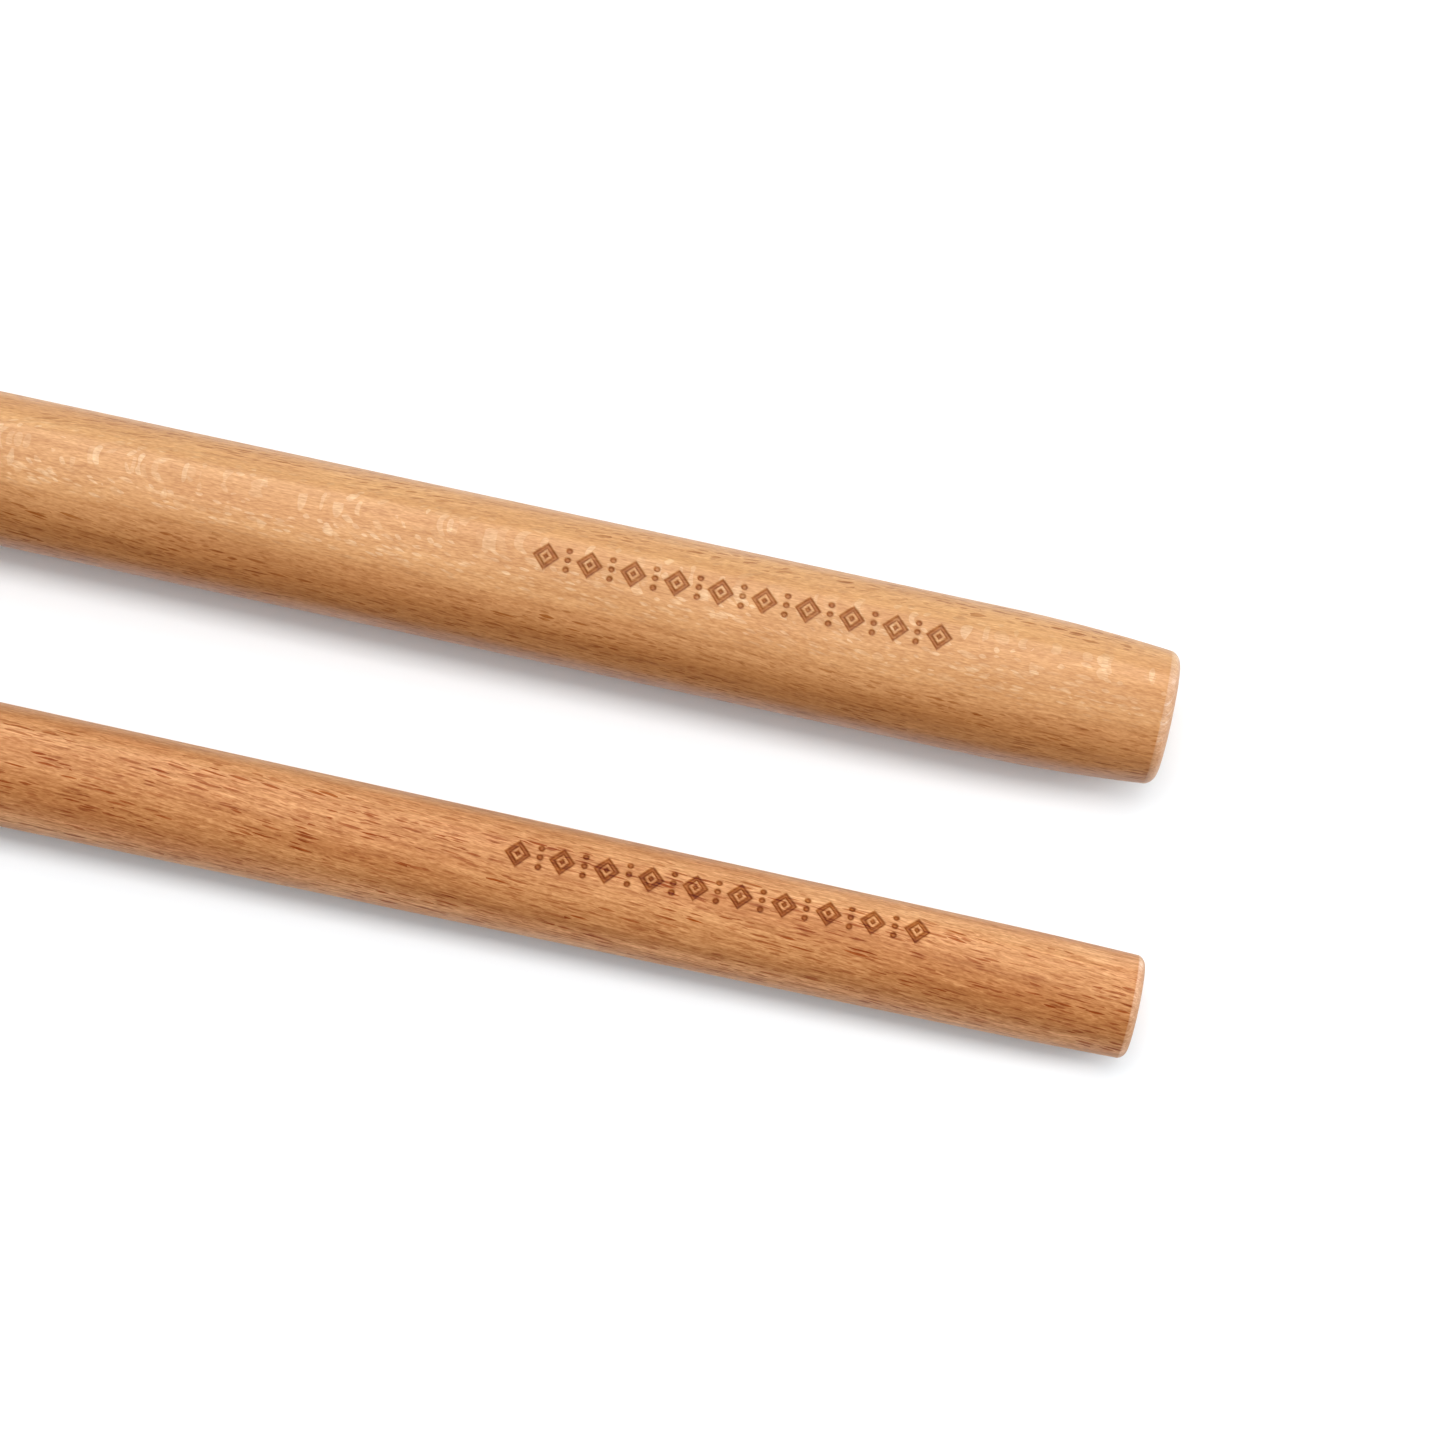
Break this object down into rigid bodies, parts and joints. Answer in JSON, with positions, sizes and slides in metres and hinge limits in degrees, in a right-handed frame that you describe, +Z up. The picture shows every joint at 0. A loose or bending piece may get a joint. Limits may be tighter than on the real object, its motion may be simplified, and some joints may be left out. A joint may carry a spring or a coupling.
{
  "type": "claves",
  "caption": "Pair of turned beech claves lying side by side: a thick round stick with drawn-in ends and a thinner, gently tapered stick.",
  "frame": {"origin": "middle of the pair in plan, on the plane the two sticks lie on", "axes": "+X along the sticks towards their tips, +Z up from the plane they lie on, +Y across, from the thin stick to the thick one"},
  "size_m": [0.2591, 0.0716, 0.0254],
  "materials": {
    "pale_beech": "pale yellow beech with a thin satin lacquer, fine brown ray flecks and a small dark burnt ornament",
    "warm_beech": "warmer orange-brown beech with a thin satin lacquer, strong dark ray flecks and a small dark burnt ornament"
  },
  "bodies": {
    "thick_clave": {"thick_clave": "pale_beech"},
    "thin_clave": {"thin_clave": "warm_beech"}
  },
  "joints": [
    {"name": "thin_clave_lift", "type": "slide", "parent": "thick_clave", "child": "thin_clave", "axis": [0, 0, 1], "range_m": [0, 0.12]}
  ]
}
